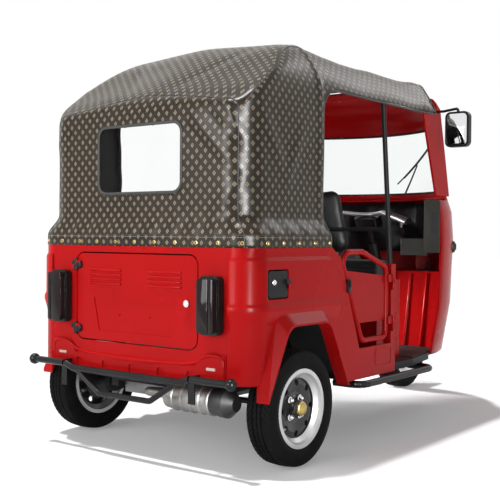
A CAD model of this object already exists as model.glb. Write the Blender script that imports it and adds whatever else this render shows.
import bmesh
import bpy
import math
import numpy as np
from mathutils import Matrix, Vector
from mathutils.bvhtree import BVHTree


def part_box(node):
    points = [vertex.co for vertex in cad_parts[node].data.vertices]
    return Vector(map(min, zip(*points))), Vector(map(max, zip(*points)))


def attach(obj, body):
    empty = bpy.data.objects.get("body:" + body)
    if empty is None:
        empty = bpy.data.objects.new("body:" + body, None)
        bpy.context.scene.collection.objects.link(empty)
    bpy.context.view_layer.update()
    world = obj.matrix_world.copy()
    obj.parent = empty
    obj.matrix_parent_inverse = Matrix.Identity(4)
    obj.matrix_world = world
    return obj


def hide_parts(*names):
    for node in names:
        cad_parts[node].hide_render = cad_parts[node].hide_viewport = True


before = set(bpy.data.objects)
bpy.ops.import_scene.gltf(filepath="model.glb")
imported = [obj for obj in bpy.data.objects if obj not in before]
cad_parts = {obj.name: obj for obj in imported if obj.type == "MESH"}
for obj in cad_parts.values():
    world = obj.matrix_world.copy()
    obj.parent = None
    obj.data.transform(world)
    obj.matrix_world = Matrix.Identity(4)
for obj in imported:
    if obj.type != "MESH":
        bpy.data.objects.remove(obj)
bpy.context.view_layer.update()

# Camera: a short telephoto view from behind the right rear corner, at chest height.
# Its lens and place follow from the wheels, the body's edges and the canopy in the photograph.
CAM_AT = Vector((-4.092, -2.749, 0.962))
CAM_YAW, CAM_PITCH, CAM_ROLL = (math.radians(a) for a in (37.34, -0.95, 0.45))
FOCAL_PX, IMAGE_PX, SENSOR_MM = 905, 500, 36


def linked(name, data):
    """New object in the scene."""
    o = bpy.data.objects.new(name, data)
    bpy.context.scene.collection.objects.link(o)
    return o


ahead = Vector((math.cos(CAM_YAW) * math.cos(CAM_PITCH), math.sin(CAM_YAW) * math.cos(CAM_PITCH),
                math.sin(CAM_PITCH)))
sideways = Vector((math.sin(CAM_YAW), -math.cos(CAM_YAW), 0))
upright = sideways.cross(ahead)
across = sideways * math.cos(CAM_ROLL) + upright * math.sin(CAM_ROLL)
above = upright * math.cos(CAM_ROLL) - sideways * math.sin(CAM_ROLL)
camera = linked("camera", bpy.data.cameras.new("camera"))
camera.data.sensor_width = SENSOR_MM
camera.data.lens = FOCAL_PX / IMAGE_PX * SENSOR_MM
camera.matrix_world = Matrix.Translation(CAM_AT) @ Matrix((across, above, -ahead)).transposed().to_4x4()
bpy.context.scene.camera = camera

# Studio: a pale seamless floor of painted board in daylight, with the sun high and a little to the left.
# The board shows white to the camera and still takes the shadow.
# Three lamps fill the rear, the right corner and the cab; two strips and a softbox only add sheen.
FLOOR_HALF, FLOOR_PATCHES, FLOOR_LIFT = 30.0, 0.7, 0.20
FLOOR_WHITE, FLOOR_PALE = (0.84, 0.84, 0.85, 1), (0.86, 0.86, 0.86, 1)
SKY_TINT, SKY_SOFT = (0.97, 0.98, 1.0, 1), 0.25
SUN_FROM, SUN_POWER, SUN_ANGLE = (-0.14, 0.20, 1.0), 2.5, math.radians(2.5)
LAMPS = [  # name, place, aim, width and height in metres, spread in degrees, watts, for sheen alone
    ("rear_lamp", (-6.5, 1.6, 2.4), (-1.0, 0.0, 0.9), 3.2, 2.4, 180, 150, False),
    ("corner_lamp", (-4.4, -5.6, 1.6), (-1.2, -0.5, 1.1), 0.40, 3.2, 180, 50, False),
    ("cab_lamp", (-0.5, 3.6, 1.5), (0.95, -0.2, 0.35), 0.5, 0.5, 30, 15, False),
    ("corner_strip", (-4.4, -5.6, 1.6), (-1.2, -0.5, 1.1), 1.1, 3.2, 180, 900, True),
    ("fold_strip", (-6.5, 0.9, 1.8), (-1.3, -0.4, 1.35), 1.0, 2.0, 180, 125, True),
    ("arch_softbox", (3.6, -1.55, 4.0), (-0.9, -0.9, 0.6), 1.7, 2.4, 180, 34, True),
]


def feed(tree, socket, value):
    """Gives a socket a plain value, or the output that feeds it."""
    if isinstance(value, bpy.types.NodeSocket):
        tree.links.new(value, socket)
    else:
        socket.default_value = value


def wire(tree, kind, props=None, **inputs):
    """New shader node; its inputs are plain values or the sockets that feed them."""
    n = tree.nodes.new("ShaderNode" + kind)
    for key, value in (props or {}).items():
        setattr(n, key, value)
    for key, value in inputs.items():
        feed(tree, n.inputs[key.replace("_", " ")], value)
    return n


def calc(tree, operation, *values):
    """Maths node; the values are numbers or sockets."""
    n = wire(tree, "Math", {"operation": operation})
    for socket, value in zip(n.inputs, values):
        feed(tree, socket, value)
    return n.outputs[0]


def join_shaders(tree, kind, first, second, **inputs):
    """Mix or sum of two shaders."""
    n = wire(tree, kind, **inputs)
    sockets = [s for s in n.inputs if s.type == "SHADER"]
    tree.links.new(first.outputs[0], sockets[0])
    tree.links.new(second.outputs[0], sockets[1])
    return n


def background_rays(tree):
    """1 for the rays that show the plain background: from the camera, or by way of metal or glass."""
    rays = wire(tree, "LightPath").outputs
    mirrored = calc(tree, "MAXIMUM", rays["Is Glossy Ray"], rays["Is Transmission Ray"])
    return calc(tree, "MAXIMUM", rays["Is Camera Ray"], mirrored)


world = bpy.data.worlds.new("studio")
bpy.context.scene.world = world
world.use_nodes = True
sky = world.node_tree
sky.nodes.clear()
daylight = wire(sky, "Background", Color=SKY_TINT, Strength=SKY_SOFT)
white = wire(sky, "Background", Color=(1, 1, 1, 1), Strength=1.0)
backdrop = join_shaders(sky, "MixShader", daylight, white, Fac=background_rays(sky))
wire(sky, "OutputWorld", Surface=backdrop.outputs[0])

board = bpy.data.materials.new("floor_board")
board.use_nodes = True
tree = board.node_tree
tree.nodes.clear()
place = wire(tree, "TexCoord").outputs["Object"]
grain = wire(tree, "TexNoise", Vector=place, Scale=FLOOR_PATCHES, Detail=2.0)
tone = wire(tree, "ValToRGB", Fac=grain.outputs["Fac"])
tone.color_ramp.elements[0].color = FLOOR_WHITE
tone.color_ramp.elements[1].color = FLOOR_PALE
matt = wire(tree, "BsdfDiffuse", Color=tone.outputs[0])
glow = calc(tree, "MULTIPLY", background_rays(tree), FLOOR_LIFT)
lift = wire(tree, "Emission", Color=(1, 1, 1, 1), Strength=glow)
wire(tree, "OutputMaterial", Surface=join_shaders(tree, "AddShader", matt, lift).outputs[0])
floor_mesh = bpy.data.meshes.new("studio_floor")
floor_mesh.from_pydata([(-FLOOR_HALF, -FLOOR_HALF, 0), (FLOOR_HALF, -FLOOR_HALF, 0),
                        (FLOOR_HALF, FLOOR_HALF, 0), (-FLOOR_HALF, FLOOR_HALF, 0)], [], [(0, 1, 2, 3)])
floor_mesh.materials.append(board)
studio_floor = linked("studio_floor", floor_mesh)
sun = linked("sun", bpy.data.lights.new("sun", "SUN"))
sun.data.energy, sun.data.angle = SUN_POWER, SUN_ANGLE
sun.rotation_euler = Vector(SUN_FROM).to_track_quat("Z", "Y").to_euler()
for name, place, aim, wide, high, spread, watts, sheen_only in LAMPS:
    lamp = linked(name, bpy.data.lights.new(name, "AREA"))
    lamp.data.shape = "RECTANGLE"
    lamp.data.size, lamp.data.size_y = wide, high
    lamp.data.spread = math.radians(spread)
    lamp.data.energy = watts
    lamp.visible_camera = False
    lamp.visible_diffuse = not sheen_only
    lamp.location = place
    lamp.rotation_euler = (Vector(aim) - Vector(place)).to_track_quat("-Z", "Y").to_euler()
bpy.context.scene.view_settings.view_transform = "Standard"

# Painted steel: the tub, nose, pillars, seat box and doors are pressed sheet, welded and sprayed red.
# The paint is a satin gloss over primer, with the faint waviness that pressed sheet keeps.
EDGE_WIDTH, EDGE_TURN, WELD_GAP = 0.0018, math.radians(35), 0.00005
PATCH_LOW, PATCH_HIGH, GRAIN_DEEP = 0.32, 0.68, 0.001


def finish(name, colour, shade, scale=5.0, rough=(0.3, 0.4), grain=0.0, grain_scale=500.0, **sockets):
    """Material whose colour, gloss and grain vary a little over the surface."""
    m = bpy.data.materials.new(name)
    m.use_nodes = True
    t = m.node_tree
    shader = t.nodes["Principled BSDF"]
    for key, value in sockets.items():
        shader.inputs[key.replace("_", " ")].default_value = value
    place = wire(t, "TexCoord").outputs["Object"]
    patches = wire(t, "TexNoise", Vector=place, Scale=scale, Detail=4.0).outputs["Fac"]
    ramp = wire(t, "ValToRGB", Fac=patches)
    for stop, share, tone in zip(ramp.color_ramp.elements, (PATCH_LOW, PATCH_HIGH), (shade, colour)):
        stop.position, stop.color = share, (*tone, 1)
    feed(t, shader.inputs["Base Color"], ramp.outputs[0])
    gloss = wire(t, "MapRange", Value=patches, To_Min=rough[0], To_Max=rough[1])
    feed(t, shader.inputs["Roughness"], gloss.outputs[0])
    if grain:
        fine = wire(t, "TexNoise", Vector=place, Scale=grain_scale, Detail=2.0).outputs["Fac"]
        relief = wire(t, "Bump", Height=fine, Strength=grain, Distance=GRAIN_DEEP)
        feed(t, shader.inputs["Normal"], relief.outputs[0])
    return m


def dress(material, *names):
    """Puts a material on solids of the frame."""
    for n in names:
        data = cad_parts[n].data
        if not data.materials:
            data.materials.append(material)
        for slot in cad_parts[n].material_slots:
            slot.material = material


def soften(width, *names):
    """Rolls the sharp edges of solids of the frame, as a press or a mould leaves them."""
    for n in names:
        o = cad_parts[n]
        weld = o.modifiers.new("weld", "WELD")
        weld.merge_threshold = WELD_GAP
        roll = o.modifiers.new("roll", "BEVEL")
        roll.width, roll.segments, roll.harden_normals = width, 2, True
        roll.limit_method, roll.angle_limit = "ANGLE", EDGE_TURN


red_paint = finish("red_paint", (0.49, 0.0060, 0.0068), (0.445, 0.0050, 0.0058), scale=2.5,
                   rough=(0.22, 0.31), grain=0.03, grain_scale=260.0, Specular_IOR_Level=0.07)
RED_NODES = ["quarter_panel_right", "quarter_panel_left", "rear_panel", "engine_lid", "front_apron",
             "windscreen_frame", "toe_board", "driver_seat_box", "door_right", "door_left", "front_mudguard"]
dress(red_paint, *RED_NODES)
soften(EDGE_WIDTH, *RED_NODES)

# Chassis, engine and running gear: welded steel painted satin black, with a cast engine block.
# The floor is sheet steel under ribbed rubber mats; bumper and steps are bent black tube.
black_paint = finish("black_paint", (0.016, 0.016, 0.017), (0.010, 0.010, 0.011), scale=6.0,
                     rough=(0.20, 0.30), grain=0.03, Specular_IOR_Level=0.18)
frame_black = finish("frame_black", (0.020, 0.020, 0.021), (0.012, 0.012, 0.013), scale=9.0,
                     rough=(0.45, 0.62), grain=0.06, Specular_IOR_Level=0.12)
cast_metal = finish("cast_metal", (0.20, 0.20, 0.20), (0.12, 0.12, 0.12), scale=14.0,
                    rough=(0.5, 0.65), grain=0.25, grain_scale=300.0, Metallic=0.8)
silver_steel = finish("silver_steel", (0.62, 0.63, 0.64), (0.50, 0.51, 0.52), scale=12.0,
                      rough=(0.22, 0.36), grain=0.03, Metallic=0.9)
mat_rubber = finish("mat_rubber", (0.030, 0.029, 0.028), (0.020, 0.019, 0.018), scale=7.0,
                    rough=(0.55, 0.75), grain=0.30, grain_scale=700.0, Specular_IOR_Level=0.22)
dress(black_paint, "rear_bumper", "side_steps")
dress(frame_black, "chassis_frame", "floor_pan", "wheel_housings", "rear_suspension", "steering_fork",
      "canopy_frame", "bench_box")
dress(cast_metal, "engine_block")
dress(silver_steel, "handlebar")


MUFFLER_PAINT_Y, MUFFLER_BLACK = -0.400, (0.012, 0.012, 0.013)  # its end to the right of this is painted


def axes_of(tree):
    """The surface's three coordinates, in metres from the part's origin."""
    return wire(tree, "SeparateXYZ", Vector=wire(tree, "TexCoord").outputs["Object"]).outputs


def tint(m, mask, colour):
    """Second colour on a material where the mask is 1."""
    t = m.node_tree
    base = t.nodes["Principled BSDF"].inputs["Base Color"]
    mix = wire(t, "Mix", {"data_type": "RGBA"})
    for k, value in ((0, mask), (6, base.links[0].from_socket), (7, (*colour, 1))):
        feed(t, mix.inputs[k], value)
    feed(t, base, mix.outputs[2])


def painted_over(m, mask, colour):
    """Paint over the bare metal of a material where the mask is 1."""
    tint(m, mask, colour)
    metal = m.node_tree.nodes["Principled BSDF"].inputs["Metallic"]
    bare = metal.default_value
    feed(m.node_tree, metal, calc(m.node_tree, "MULTIPLY_ADD", mask, -bare, bare))


muffler_steel = finish("muffler_steel", (0.30, 0.30, 0.29), (0.18, 0.17, 0.16), scale=11.0,
                       rough=(0.34, 0.52), grain=0.06, Metallic=0.85)
tree = muffler_steel.node_tree
painted_end = calc(tree, "LESS_THAN", axes_of(tree)["Y"], MUFFLER_PAINT_Y)
painted_over(muffler_steel, painted_end, MUFFLER_BLACK)
dress(muffler_steel, "muffler")
dress(mat_rubber, "floor_mat")
soften(EDGE_WIDTH, "engine_block", "chassis_frame")

# Tyres: black rubber road tyres on twelve inch rims, with three grooves and slanted cuts.
# Each is moulded in one piece; the sidewall has a bead step, a rim guard and a round shoulder.
MID_X = 1.307  # from the rear panel to the part's origin
SHIFT = Vector((MID_X, 0, 0))
AXLES = [("front", (2.416, 0.0), "front_wheel"), ("rear_right", (0.326, -0.598), "rear_wheel_right"),
         ("rear_left", (0.326, 0.598), "rear_wheel_left")]
AXLE_Z = 0.243
TYRE_R, TYRE_HALF, BEAD_R, TYRE_STEPS = 0.243, 0.0635, 0.158, 360
TREAD_HALF, CROWN_AT, CROWN_DROP = 0.0471, 0.05, 0.0035
GROOVES, GROOVE_HALF, GROOVE_DEEP = (-0.021, 0.0, 0.021), 0.0032, 0.0065
CUT_EVERY, CUT_LEAN, CUT_FROM, CUT_TO, CUT_DEEP = 6, 260, 0.006, 0.0560, 0.0045
SHOULDER_TURN, SHOULDER_IN, SHOULDER_WIDE, SHOULDER_DROP = 1.35, 0.0031, 0.0110, 0.0150
WALL_R, WALL_REACH, WALL_TUCK = 0.198, 0.022, 0.0045
GUARD_LOW, GUARD_HIGH, GUARD_RISE = 0.2120, 0.2190, 0.0008
rubber = finish("tyre_rubber", (0.0125, 0.0125, 0.0120), (0.0080, 0.0080, 0.0078), scale=18.0,
                rough=(0.52, 0.70), grain=0.12, grain_scale=420.0, Specular_IOR_Level=0.03)


def grid_faces(rows, columns, wrap_rows=False, wrap_columns=False, start=0):
    """Quads between the points of a grid that are numbered row by row."""
    faces = []
    for i in range(rows if wrap_rows else rows - 1):
        for j in range(columns if wrap_columns else columns - 1):
            i2, j2 = (i + 1) % rows, (j + 1) % columns
            faces.append((start + i * columns + j, start + i * columns + j2,
                          start + i2 * columns + j2, start + i2 * columns + j))
    return faces


def piece(name, shape, material, body="body", sharp=35.0):
    """Makes the mesh of a piece, faces it outwards and lets it ride on its body."""
    me = bpy.data.meshes.new(name)
    me.from_pydata([(x - MID_X, y, z) for x, y, z in shape[0]], [], shape[1])
    bm = bmesh.new()
    bm.from_mesh(me)
    bmesh.ops.recalc_face_normals(bm, faces=bm.faces)
    bm.to_mesh(me)
    bm.free()
    me.shade_smooth()
    me.set_sharp_from_angle(angle=math.radians(sharp))
    me.materials.append(material)
    o = linked(name, me)
    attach(o, body)
    return o


def tyre_profile():
    """Half section from the tread's middle to the bead: distance from the middle and radius."""
    tread = [(y, TYRE_R - CROWN_DROP * (y / CROWN_AT) ** 2)
             for y in np.arange(0.0, TREAD_HALF, GROOVE_HALF / 2)]
    shoulder = [(TREAD_HALF + SHOULDER_WIDE * math.sin(t),
                 TYRE_R - SHOULDER_IN - SHOULDER_DROP * (1 - math.cos(t)))
                for t in np.linspace(0, 1, 12)[1:] * SHOULDER_TURN]
    wall = [(TYRE_HALF - WALL_TUCK * abs(t) ** 2.2, WALL_R - WALL_REACH * t)
            for t in np.linspace(-0.9, 1.5, 12)]
    lip = [(0.0505, 0.1640), (0.0470, 0.1612), (0.0440, BEAD_R), (0.0400, BEAD_R)]
    return np.array(tread + shoulder + wall + lip)


def tyre_shape(x, y):
    """The section turned round an axle, with its grooves and cuts sunk in."""
    half = tyre_profile()
    section = np.concatenate([half[::-1] * (-1, 1), half[1:]])
    side, radius = section[:, 0], section[:, 1]
    step = np.arange(TYRE_STEPS)[:, None]
    lean = np.round(np.abs(side) * CUT_LEAN).astype(int)[None, :]
    grooved = np.min(np.abs(side[None, :, None] - np.array(GROOVES)), axis=2) < GROOVE_HALF
    on_tread = np.abs(side)[None, :] < CUT_TO
    cut = ((step + lean) % CUT_EVERY == 0) & on_tread & (np.abs(side)[None, :] > CUT_FROM)
    r = radius[None, :] - np.where(grooved & on_tread, GROOVE_DEEP, np.where(cut, CUT_DEEP, 0.0))
    guard = np.where((radius > GUARD_LOW) & (radius < GUARD_HIGH), GUARD_RISE, 0.0)
    a = step * 2 * math.pi / TYRE_STEPS
    s = side[None, :] + np.sign(side)[None, :] * guard[None, :]
    p = np.stack([x + r * np.sin(a), np.broadcast_to(y + s, r.shape), AXLE_Z + r * np.cos(a)], 2)
    return p.reshape(-1, 3).tolist(), grid_faces(TYRE_STEPS, len(side), True, True)


for label, (x, y), body in AXLES:
    tyre = piece(f"{label}_tyre_tread", tyre_shape(x, y), rubber, body, 30)
    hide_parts(body.replace("wheel", "tyre"))

# Wheels: pressed steel rims sprayed silver, with a black centre disc bolted on by four nuts.
# The disc has oval vents; a brass coloured cap closes the hub.
DISC_R, DISC_BLACK = 0.126, (0.014, 0.014, 0.015)


def wheel_finish(name, x):
    """Silver outside the disc's edge and black inside it, measured from the axle."""
    m = finish(name, (0.60, 0.60, 0.60), (0.50, 0.50, 0.50), scale=10.0, rough=(0.26, 0.38),
               grain=0.03, Metallic=0.75)
    t = m.node_tree
    place = axes_of(t)
    dx, dz = calc(t, "SUBTRACT", place["X"], x - MID_X), calc(t, "SUBTRACT", place["Z"], AXLE_Z)
    r = calc(t, "SQRT", calc(t, "ADD", calc(t, "MULTIPLY", dx, dx), calc(t, "MULTIPLY", dz, dz)))
    painted_over(m, calc(t, "LESS_THAN", r, DISC_R), DISC_BLACK)
    return m


brass = finish("hub_brass", (0.50, 0.36, 0.13), (0.40, 0.28, 0.09), scale=60.0, rough=(0.25, 0.40),
               Metallic=1.0)
chrome = finish("chrome", (0.78, 0.78, 0.79), (0.70, 0.70, 0.71), scale=40.0, rough=(0.08, 0.16),
                Metallic=1.0)
for label, (x, y), body in AXLES:
    dress(wheel_finish(f"{label}_wheel_paint", x), body)

# Canopy: one sheet of printed vinyl over a steel hoop, sewn from a rear panel, two sides and a roof.
# It is laced to the tub at the hem, stretched over the hoop and stuck to the windscreen's header.
CANOPY_HALF, CANOPY_REAR, CORNER_R = 0.580, 0.022, 0.120
TUB_HALF, TUB_R = 0.626, 0.105
HEM_Z, FLARE_LOW, FLARE_TOP = 0.911, 0.950, 1.050
SEAM_ANGLE = math.radians(35)
OPEN_X, OPEN_LOW, OPEN_R = 0.585, 1.502, 0.110
FRONT_X = 1.689
EAVE_Z, EAVE_SLOPE = 1.650, 0.110 / 0.162
WINDOW_HALF, WINDOW_LOW, WINDOW_TOP, WINDOW_R = 0.245, 1.140, 1.430, 0.045
REAR_ZONE = 0.06  # the rear panel lies behind this
SIDE_ROWS, ROOF_HALF = 48, 52
CORNER_STEPS, WALL_STEPS, FRONT_ARC, FRONT_STEPS = 10, 34, 12, 76
FINE, KNEE_GAP, WALL_BELOW = 0.004, 0.002, 0.2
SEAM_X, ROOF_REAR_X, WALL_END_X, WALL_REAR_Z = 0.0437, 0.078, 0.30, 1.44
REAR_BEND_Z, REAR_BEND_R, REAR_BEND_RISE = 1.463, 0.130, 0.128
ROOF_LINE = [  # distance from the rear panel, height of the roof's middle
    (SEAM_X, 1.533), (ROOF_REAR_X, 1.570), (0.245, 1.692), (0.360, 1.778), (0.440, 1.822), (0.500, 1.836),
    (0.560, 1.840), (0.630, 1.832), (0.720, 1.811), (0.860, 1.792), (1.000, 1.790), (1.155, 1.797),
    (1.300, 1.792), (1.450, 1.790), (1.600, 1.791), (1.690, 1.792)]
CROWN_RISE = [(SEAM_X, 0.042), (0.30, 0.030), (0.56, 0.026), (0.80, 0.012), (1.69, 0.008)]
ROUNDING = [(SEAM_X, 0.022), (0.30, 0.040), (0.56, 0.050), (0.86, 0.036), (1.46, 0.034), (1.57, 0.016),
            (1.69, 0.016)]


def along(table, x):
    """Smooth value of a table at a place: straight runs with their corners eased."""
    xs, ys = np.array(table).T
    spread = np.linspace(-0.03, 0.03, 7)
    return float(np.mean(np.interp(np.clip(x + spread, xs[0], xs[-1]), xs, ys)))


def flare(z):
    """1 at the hem, where the sheet meets the tub, and 0 on the upright walls."""
    t = np.clip((FLARE_TOP - z) / (FLARE_TOP - FLARE_LOW), 0, 1)
    return t * t * (3 - 2 * t)


def plan(z):
    """Half width, rear end and corner radius of the sheet at a height."""
    g = flare(z)
    return (CANOPY_HALF + g * (TUB_HALF - CANOPY_HALF), CANOPY_REAR * (1 - g),
            CORNER_R + g * (TUB_R - CORNER_R))


def run_of(path):
    """Distance of each point of a path from its start."""
    return np.concatenate([[0], np.cumsum(np.linalg.norm(np.diff(path, axis=0), axis=1))])


def resampled(path, run, places):
    """Points of a path at the given distances from its start."""
    return np.stack([np.interp(places, run, path[:, k]) for k in range(path.shape[1])], 1)


def knee_of(x):
    """Height of the roof's edge, where its crown meets the sloping eave."""
    return along(ROOF_LINE, x) - along(CROWN_RISE, x)


def roof_section(x, half, low, low_cut):
    """Right half of the roof's section, from the height low_cut up to the middle."""
    top, ease, knee_z = along(ROOF_LINE, x), along(ROUNDING, x), knee_of(x)
    knee = min(half - KNEE_GAP, half - (knee_z - EAVE_Z) * EAVE_SLOPE)
    corners = [(half, low - WALL_BELOW), (half, min(EAVE_Z, knee_z - KNEE_GAP)), (knee, knee_z), (0.0, top)]
    p = np.array(corners + [(-a, b) for a, b in corners[-2::-1]])
    length = run_of(p)
    q = resampled(p, length, np.arange(0, length[-1], FINE))
    reach = int(3 * ease / FINE) + 1
    weight = np.exp(-0.5 * (np.arange(-reach, reach + 1) * FINE / ease) ** 2)
    weight /= weight.sum()
    padded = np.concatenate([np.repeat(q[:1], reach, 0), q, np.repeat(q[-1:], reach, 0)])
    q = np.stack([np.convolve(padded[:, k], weight, "valid") for k in (0, 1)], 1)
    q = q[: len(q) // 2 + 1]
    q = q[q[:, 1] >= low_cut - FINE]
    q[0] = (np.interp(low_cut, q[:3, 1], q[:3, 0]), low_cut)
    q[-1, 0] = 0.0
    run = run_of(q)
    return resampled(q, run, np.linspace(0, run[-1], ROOF_HALF + 1))


def both_halves(section):
    """Left and right half of a section as one row, from the right edge to the left."""
    return np.concatenate([section * (-1, 1), section[-2::-1]])


def wall_low(x):
    """Height at which the roof's section takes over from the side wall."""
    return float(np.interp(x, (SEAM_X, WALL_END_X), (WALL_REAR_Z, OPEN_LOW)))


def canopy_rows():
    """Rows of the roof, and the rows of the two side walls below it."""
    roof, walls = [], []
    shares = np.linspace(0, 1, SIDE_ROWS + 1)
    arc = np.sin(np.linspace(0, math.pi, 2 * ROOF_HALF + 1)) ** 2
    first, joined = CANOPY_REAR + CORNER_R * (1 - math.cos(SEAM_ANGLE)), CANOPY_REAR + CORNER_R
    for i in range(CORNER_STEPS + WALL_STEPS + 1):
        turn = SEAM_ANGLE + (math.pi / 2 - SEAM_ANGLE) * min(1, i / CORNER_STEPS)
        ahead_share = max(0, i - CORNER_STEPS) / WALL_STEPS
        high = CANOPY_REAR + CORNER_R * (1 - math.cos(turn))
        x = high + ahead_share * (OPEN_X - high)
        low = wall_low(x)
        z = HEM_Z + (low - HEM_Z) * shares
        half, rear, r = plan(z)
        wall_x = rear + r * (1 - math.cos(turn))
        wall_x = wall_x + ahead_share * (OPEN_X - wall_x)
        wall_y = half - r + r * math.sin(turn)
        walls.append(np.stack([wall_x, wall_y, z], 1))
        bow = (ROOF_REAR_X - first) * arc * np.clip((joined - x) / (joined - first), 0, 1)
        section = both_halves(roof_section(x, wall_y[-1], low, low))
        if bow.max() > 0:
            near = both_halves(roof_section(x + bow.max(), wall_y[-1], low, low))
            blend = (bow / max(bow.max(), 1e-9))[:, None]
            section = section * (1 - blend) + near * blend
        roof.append(np.concatenate([(x + bow)[:, None], section], 1))
    front = [(OPEN_X + OPEN_R * (1 - math.cos(a)), OPEN_LOW + OPEN_R * math.sin(a))
             for a in np.linspace(0, math.pi / 2, FRONT_ARC + 1)[1:]]
    front += [(x, OPEN_LOW + OPEN_R) for x in np.linspace(OPEN_X + OPEN_R, FRONT_X, FRONT_STEPS + 1)[1:]]
    for x, edge in front:
        roof.append(np.insert(both_halves(roof_section(x, CANOPY_HALF, OPEN_LOW, edge)), 0, x, 1))
    return np.array(roof), np.array(walls)


def quads_of(n):
    """Quads between points whose numbers stand in a grid."""
    return [tuple(int(k) for k in (n[i, j], n[i, j + 1], n[i + 1, j + 1], n[i + 1, j]))
            for i in range(n.shape[0] - 1) for j in range(n.shape[1] - 1)]


def canopy_mesh():
    """Points and quads of the whole sheet, each quad's panel and the flat places of every panel."""
    roof, walls = canopy_rows()
    columns = 2 * ROOF_HALF + 1
    points, faces = [roof.reshape(-1, 3)], grid_faces(len(roof), columns)
    panels = []
    for i in range(len(roof) - 1):
        for j in range(columns - 1):
            x, _, z = roof[i, j]
            low_side = i < len(walls) - 1 and z < knee_of(x) - FINE
            panels.append("side" if low_side else "roof")
    across_run = np.concatenate([np.zeros((len(roof), 1)),
                                 np.cumsum(np.linalg.norm(np.diff(roof, axis=1), axis=2), 1)], 1)
    across_run -= across_run[:, ROOF_HALF:ROOF_HALF + 1]
    along_run = np.broadcast_to(run_of(roof[:, ROOF_HALF])[:, None], across_run.shape)
    roof_flat = np.stack([across_run, along_run], 2).reshape(-1, 2)
    steps = np.linalg.norm(np.diff(walls[:, :, :2], axis=0), axis=2).mean(1)
    round_run = walls[0, -1, 1] + np.concatenate([[0], np.cumsum(steps)])
    side_flat = np.zeros((len(roof), columns, 2))
    for i in range(len(walls)):
        up = np.abs(across_run[i, 0]) - np.abs(across_run[i])
        side_flat[i, :, 0] = round_run[i] * np.where(np.arange(columns) <= ROOF_HALF, -1, 1)
        side_flat[i, :, 1] = walls[i, -1, 2] + up
    side_flat = [side_flat.reshape(-1, 2)]
    count = len(points[0])
    seam_columns = []
    for side, edge_column in ((1, 0), (-1, columns - 1)):
        wall = walls[:, :-1] * (1, -side, 1)
        numbers = np.empty((len(walls), SIDE_ROWS + 1), int)
        numbers[:, :-1] = count + np.arange(len(walls) * SIDE_ROWS).reshape(len(walls), SIDE_ROWS)
        numbers[:, -1] = np.arange(len(walls)) * columns + edge_column
        seam_columns.append(numbers[0])
        faces += quads_of(numbers)
        panels += ["side"] * ((len(walls) - 1) * SIDE_ROWS)
        points.append(wall.reshape(-1, 3))
        run = np.broadcast_to(-side * round_run[:, None], wall.shape[:2])
        side_flat.append(np.stack([run, wall[:, :, 2]], 2).reshape(-1, 2))
        count += wall.shape[0] * wall.shape[1]
    top = roof[0]
    numbers = np.empty((SIDE_ROWS + 1, columns), int)
    numbers[-1] = np.arange(columns)
    numbers[:, 0], numbers[:, -1] = seam_columns
    rear_points = []
    even = np.linspace(-1, 1, columns)
    for k in range(SIDE_ROWS):
        share = k / SIDE_ROWS
        z = HEM_Z + (top[:, 2] - HEM_Z) * share
        half, rear, r = plan(z)
        end = half - r + r * math.sin(SEAM_ANGLE)
        y = end * (even * (1 - share ** 3) + share ** 3 * top[:, 1] / top[-1, 1])
        round_in = np.clip(np.abs(y) - (half - r), 0, None)
        x = rear + r - np.sqrt(r * r - round_in ** 2)
        over = np.clip(z - REAR_BEND_Z, 0, REAR_BEND_RISE)
        x = x + REAR_BEND_R - np.sqrt(REAR_BEND_R ** 2 - over ** 2)
        for j in range(1, columns - 1):
            numbers[k, j] = count + len(rear_points)
            rear_points.append((x[j], y[j], z[j]))
    faces += quads_of(numbers)
    panels += ["rear"] * (SIDE_ROWS * (columns - 1))
    points.append(np.array(rear_points))
    points = np.concatenate(points)
    flats = {"rear": points[:, 1:], "roof": np.zeros((len(points), 2)), "side": np.zeros((len(points), 2))}
    flats["roof"][: len(roof_flat)] = roof_flat
    side_flat = np.concatenate(side_flat)
    flats["side"][: len(side_flat)] = side_flat
    return points, faces, panels, flats


points, faces, panels, flats = canopy_mesh()
middle = np.array([points[list(f)].mean(0) for f in faces])
in_y = np.clip(np.abs(middle[:, 1]) - (WINDOW_HALF - WINDOW_R), 0, None)
half_h = (WINDOW_TOP - WINDOW_LOW) / 2
in_z = np.clip(np.abs(middle[:, 2] - WINDOW_LOW - half_h) - (half_h - WINDOW_R), 0, None)
hole = (middle[:, 0] < REAR_ZONE) & (np.hypot(in_y, in_z) < WINDOW_R)
panels = [p for p, gone in zip(panels, hole) if not gone]
faces = [f for f, gone in zip(faces, hole) if not gone]


def ridge(p, a, b, width, height):
    """Height of a soft fold that runs from a to b across the sheet."""
    a, b = np.array(a), np.array(b)
    d = b - a
    t = np.clip(((p - a) @ d) / (d @ d), 0, 1)
    away = np.linalg.norm(p - a - t[:, None] * d, axis=1)
    return height * np.exp(-(away / width) ** 2) * np.sin(math.pi * np.clip(t, 0.02, 0.98)) ** 0.7


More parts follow.
